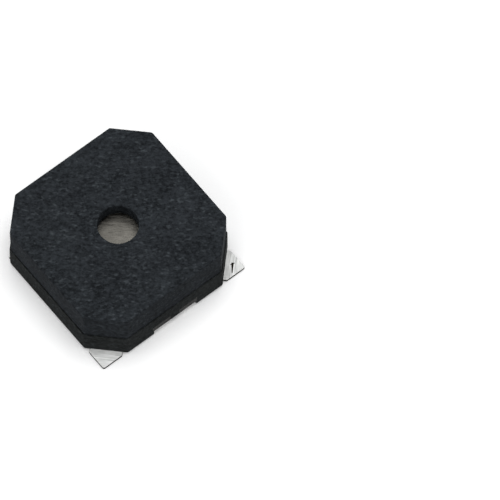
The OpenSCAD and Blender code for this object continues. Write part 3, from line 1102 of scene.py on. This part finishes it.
class BUZZER_OT_magnet(Operator):
    """Make the ring magnet and the glue under it"""

    bl_idname = "buzzer.magnet"
    bl_label = "Ring magnet"

    def execute(self, context):
        outer, inner = in_mm(context.scene.buzzer_circuit, "magnet magnet_bore")
        low, high = bottom("ring_magnet"), top("ring_magnet")
        mesh = new_mesh("magnet", ring_solid(outer / 2, inner / 2, low, high, radius=0.05))
        finish = bonded_magnet()
        make_piece("bonded_ring_magnet", mesh, "ring_magnet", [finish])
        lay_glue("magnet_bond_line", "magnet_glue", outer / 2, inner / 2, cured_epoxy())
        return {"FINISHED"}


STEPS_PER_TURN, WIRE_SIDES = 72, 6
WIRE_SHARE = 0.98  # the drawn wire's share of its room, so that turns don't touch


class BUZZER_OT_coil(Operator):
    """Wind the coil, with real turns on its outside, and lay its glue"""

    bl_idname = "buzzer.coil"
    bl_label = "Coil"

    def execute(self, context):
        sizes = context.scene.buzzer_circuit
        outer, inner, wire = in_mm(sizes, "coil coil_bore wire")
        outer, inner, half = outer / 2, inner / 2, wire / 2
        low, high = bottom("coil") + half, top("coil") - half
        shells = [ring_solid(outer - half, inner + half, low, high, radius=0.01)]

        def wind(turns, radius, height, inwards=0.0, upwards=0.0):
            """Winds one layer, which moves in or up by a distance over its turns."""
            path = []
            for k in range(turns * STEPS_PER_TURN + 1):
                a = FULL_TURN * k / STEPS_PER_TURN
                r = radius - inwards * k / (turns * STEPS_PER_TURN)
                z = height + upwards * k / (turns * STEPS_PER_TURN)
                path.append((r * math.cos(a), r * math.sin(a), z))
            shells.append(tube(path, half * WIRE_SHARE, WIRE_SIDES))

        rise = top("coil") - bottom("coil") - wire
        for radius in (outer - half, inner + half):
            wind(sizes.turns, radius, low, upwards=rise)
        for height in (low, high):
            wind(round((outer - inner) / wire), outer - half, height, outer - inner - wire)
        mesh = new_mesh("coil", joined(shells))
        copper, epoxy = enamelled_copper(), bpy.data.materials["cured_epoxy"]
        make_piece("wound_coil", mesh, "coil", [copper], sharp=50)
        lay_glue("coil_bond_line", "coil_glue", outer, inner, epoxy)
        return {"FINISHED"}


# A lead wire's way from the coil to its pad: distance out, height, in millimetres.
WIRE_ROUTE = ((1.8, 1.63), (2.3, 1.59), (3.4, 1.59), (3.75, 1.53), (3.8, 1.47), (3.963, 1.21))


def smooth_route(stops, parts=8):
    """Points on a smooth curve through the stops."""
    ends = [stops[0], *stops, stops[-1]]
    points = []
    for i in range(1, len(ends) - 2):
        p = [Vector(q) for q in ends[i - 1 : i + 3]]
        slope = p[2] - p[0]
        bow = p[0] * 2 - p[1] * 5 + p[2] * 4 - p[3]
        twist = p[1] * 3 - p[0] - p[2] * 3 + p[3]
        for t in [k / parts for k in range(parts)]:
            points.append((p[1] * 2 + slope * t + bow * t**2 + twist * t**3) / 2)
    return points + [Vector(stops[-1])]


def solder_dome(radius, low, high, seed):
    """A solder joint: a soft dome that runs out thin where it wets its pad."""
    profile = [(0, low)]
    rings = 14
    for k in range(rings + 1):
        share = 1 - k / rings
        z = low + (high - low) * (0.5 + 0.5 * math.cos(math.pi * share)) ** 0.8
        profile.append((radius * share, z))

    def wave(point, z):
        grow = (high - z) / (high - low)
        return 0.03 * grow * noise.noise(Vector((point[0] * 3, point[1] * 3, 5.0 * seed)))

    return turned(profile, 48, wave=wave)


class BUZZER_OT_leads(Operator):
    """Lead the two wires to their pads and solder them"""

    bl_idname = "buzzer.leads"
    bl_label = "Leads and solder"

    def execute(self, context):
        wire, size, place = in_mm(context.scene.buzzer_circuit, "wire solder solder_place")
        copper, alloy = bpy.data.materials["enamelled_copper"], reflowed_solder()
        path = [(u, 0, z) for u, z in smooth_route(WIRE_ROUTE)]
        for number, corner in ((1, LIVE_CORNER_1), (2, LIVE_CORNER_2)):
            mesh = new_mesh("wire", tube(path, wire / 2, 12))
            make_piece(f"lead_{number}", mesh, f"lead_wire_{number}",
                       [copper], sharp=50, turn=corner)
            node = f"solder_joint_{number}"
            mesh = new_mesh("solder", solder_dome(size / 2, bottom(node), top(node), number))
            mesh.transform(Matrix.Translation((place, 0, 0)))
            make_piece(f"solder_fillet_{number}", mesh, node, [alloy], sharp=60,
                       turn=corner)
        return {"FINISHED"}


class BUZZER_OT_diaphragm(Operator):
    """Make the spring diaphragm and the iron armature disc on it"""

    bl_idname = "buzzer.diaphragm"
    bl_label = "Diaphragm and armature"

    def execute(self, context):
        sheet, disc = in_mm(context.scene.buzzer_circuit, "diaphragm armature")
        low, middle, high = bottom("diaphragm"), top("diaphragm"), top("armature")
        profile = fillet([(0, low, 0), (sheet / 2, low, 0.012), (sheet / 2, middle, 0.012),
                          (0, middle, 0)], 3)
        steel = worked_metal(
            "rolled_spring_steel", colours().spring_steel, mark=(1.5, 0.04), roughness=0.28,
            relief=0.004, dark=0.85)
        mesh = new_mesh("diaphragm", turned(profile, 128))
        make_piece("spring_diaphragm", mesh, "diaphragm", [steel])
        profile = fillet([(0, middle, 0), (disc / 2, middle, 0.015), (disc / 2, high, 0.07),
                          (0, high, 0)], 6)
        iron = worked_metal(
            "blanked_iron", colours().blanked_iron, mark=(0.5, 0.09), roughness=0.5,
            relief=0.012, direction=FLOW_DIRECTION, dark=0.6)
        mesh = new_mesh("armature", turned(profile, 128))
        make_piece("armature_disc", mesh, "armature", [iron])
        return {"FINISHED"}


# ------------------------------------------------------------------------ stage

# The camera: its direction, then its distance, its place beside and above the middle
# of the buzzer, all in mm, and its lens.
VIEW_AZIMUTH, VIEW_ELEVATION = math.radians(-38.47), math.radians(64.27)
VIEW_DISTANCE, VIEW_RIGHT, VIEW_UP = 400.0, 6.11, 0.21
VIEW_LENS, SENSOR_WIDTH = 617.5, 36

# Lamps: name, place and size in mm, power in watts.
LAMPS = (
    ("overhead_softbox", (12, 5, 180), 110, 0.145),
    ("left_softbox", (-120, -50, 140), 100, 0.046),
    ("right_softbox", (90, -80, 140), 100, 0.01),
)
WORLD_COLOUR, WORLD_STRENGTH = (0.99, 0.995, 1.0, 1), 0.62
CARD_LIFT = 0.06  # light that lifts the pale card to white as a background
CARD_RADII = (60, 400)
PAPER_FIBRES_PER_MM = 8.0


def background_rays(node):
    """1 for the rays that see the background: the camera's, and those off gloss or glass."""
    seen = node("LightPath", output="Is Camera Ray")
    rays = seen.node.outputs
    for other in ("Is Glossy Ray", "Is Transmission Ray"):
        seen = node("Math", {0: seen, 1: rays[other]}, operation="MAXIMUM")
    return seen


def matt_pale_card():
    """Matt pale card, pressed smooth."""
    # Faintly fibrous and without gloss. It is lifted to white where it is the
    # background of a view, and keeps the shadow on it.
    made, node = new_material("matt_pale_card")
    backdrop = shade(colours().backdrop)
    grid = millimetre_grid(node)
    fibre = node("TexNoise", {"Vector": grid, "Scale": PAPER_FIBRES_PER_MM, "Detail": 3.0})
    relief = node("Bump", {"Height": fibre, "Distance": 0.01 * MM, "Strength": 0.1})
    seen = background_rays(node)
    paper = node("Mix", {0: seen, 6: shade(colours().floor), 7: backdrop},
                 output=2, data_type="RGBA")
    surface = node("BsdfPrincipled", {
        "Base Color": paper, "Roughness": 0.9, "Specular IOR Level": 0.0, "Normal": relief})
    share = node("Math", {0: seen, 1: CARD_LIFT}, operation="MULTIPLY")
    glow = node("Emission", {"Color": backdrop, "Strength": share})
    both = node("AddShader", {0: surface, 1: glow})
    node("OutputMaterial", {"Surface": both})
    return made


class BUZZER_OT_stage(Operator):
    """Set the floor, the soft light and the camera"""

    bl_idname = "buzzer.stage"
    bl_label = "Stage"

    def execute(self, context):
        scene = context.scene
        self.floor()
        self.light(scene)
        self.camera(scene)
        scene.view_settings.view_transform = "Standard"
        return {"FINISHED"}

    def floor(self):
        """A sheet of pale card that keeps the buzzer's shadow."""
        rings = [[(0, 0, 0)]] + [at_height(circle(radius, 64), 0) for radius in CARD_RADII]
        mesh = new_mesh("floor_card", loft(rings))
        mesh.transform(Matrix.Scale(MM, 4))
        mesh.materials.append(matt_pale_card())
        placed("floor_card", mesh)

    def light(self, scene):
        """An even world and three soft lamps."""
        world = bpy.data.worlds.new("studio")
        scene.world = world
        world.use_nodes = True
        world.node_tree.nodes.clear()
        node = partial(add_node, world.node_tree)
        seen = background_rays(node)
        soft, white = (
            node("Background", {"Color": tint, "Strength": strength})
            for tint, strength in (
                (WORLD_COLOUR, WORLD_STRENGTH),
                (shade(colours().backdrop), 1.0),
            )
        )
        mixed = node("MixShader", {0: seen, 1: soft, 2: white})
        node("OutputWorld", {"Surface": mixed})
        for name, place, size, power in LAMPS:
            lamp = bpy.data.lights.new(name, "AREA")
            lamp.shape, lamp.size, lamp.energy = "DISK", size * MM, power
            made = placed(name, lamp)
            made.location = Vector(place) * MM
            made.rotation_euler = (-Vector(place)).to_track_quat("-Z", "Y").to_euler()
            made.visible_camera = False

    def camera(self, scene):
        """The camera, with the buzzer left of the middle of its view."""
        a, e = VIEW_AZIMUTH, VIEW_ELEVATION
        back = Vector((math.sin(a) * math.cos(e), -math.cos(a) * math.cos(e), math.sin(e)))
        right = Vector((math.cos(a), math.sin(a), 0))
        up = back.cross(right)
        aim = Vector((0, 0, bottom("base")))
        place = aim + back * VIEW_DISTANCE + right * VIEW_RIGHT + up * VIEW_UP
        data = bpy.data.cameras.new("camera")
        data.lens, data.sensor_width = VIEW_LENS, SENSOR_WIDTH
        data.clip_start, data.clip_end = 0.01, 10
        camera = placed("camera", data)
        turn = Matrix((right, up, back)).transposed().to_4x4()
        camera.matrix_world = Matrix.Translation(place * MM) @ turn
        scene.camera = camera


# ----------------------------------------------------------- panel and register

GROUPS = {
    "buzzer_case": ("Case", BuzzerCaseSizes),
    "buzzer_underside": ("Underside", BuzzerUndersideSizes),
    "buzzer_terminals": ("Terminals", BuzzerTerminalSizes),
    "buzzer_circuit": ("Magnet circuit", BuzzerCircuitSizes),
    "buzzer_colours": ("Colours", BuzzerColours),
}
OPERATORS = (
    BUZZER_OT_stage,
    BUZZER_OT_base,
    BUZZER_OT_cover,
    BUZZER_OT_terminals,
    BUZZER_OT_yoke,
    BUZZER_OT_magnet,
    BUZZER_OT_coil,
    BUZZER_OT_leads,
    BUZZER_OT_diaphragm,
)


class BUZZER_PT_panel(Panel):
    """Lists the buzzer's sizes, colours and pieces"""

    bl_idname = "BUZZER_PT_panel"
    bl_label = "Magnetic buzzer"
    bl_space_type = "VIEW_3D"
    bl_region_type = "UI"
    bl_category = "Buzzer"

    def draw(self, context):
        for name, (title, _) in GROUPS.items():
            group = getattr(context.scene, name)
            box = self.layout.box()
            box.label(text=title)
            for key in group.__annotations__:
                box.prop(group, key)
        for operator in OPERATORS:
            self.layout.operator(operator.bl_idname)


CLASSES = (*(group for _, group in GROUPS.values()), *OPERATORS, BUZZER_PT_panel)


def register():
    """Registers the classes and adds the sizes and colours to the scene."""
    for cls in CLASSES:
        bpy.utils.register_class(cls)
    for name, (_, group) in GROUPS.items():
        setattr(bpy.types.Scene, name, PointerProperty(type=group))


def unregister():
    """Takes the sizes and colours off the scene and unregisters the classes."""
    for name in GROUPS:
        delattr(bpy.types.Scene, name)
    for cls in reversed(CLASSES):
        bpy.utils.unregister_class(cls)


def main():
    """Makes the whole scene."""
    register()
    bpy.ops.buzzer.stage()
    bpy.ops.buzzer.base()
    bpy.ops.buzzer.cover()
    bpy.ops.buzzer.terminals()
    bpy.ops.buzzer.yoke()
    bpy.ops.buzzer.magnet()
    bpy.ops.buzzer.coil()
    bpy.ops.buzzer.leads()
    bpy.ops.buzzer.diaphragm()


if __name__ == "__main__":
    main()
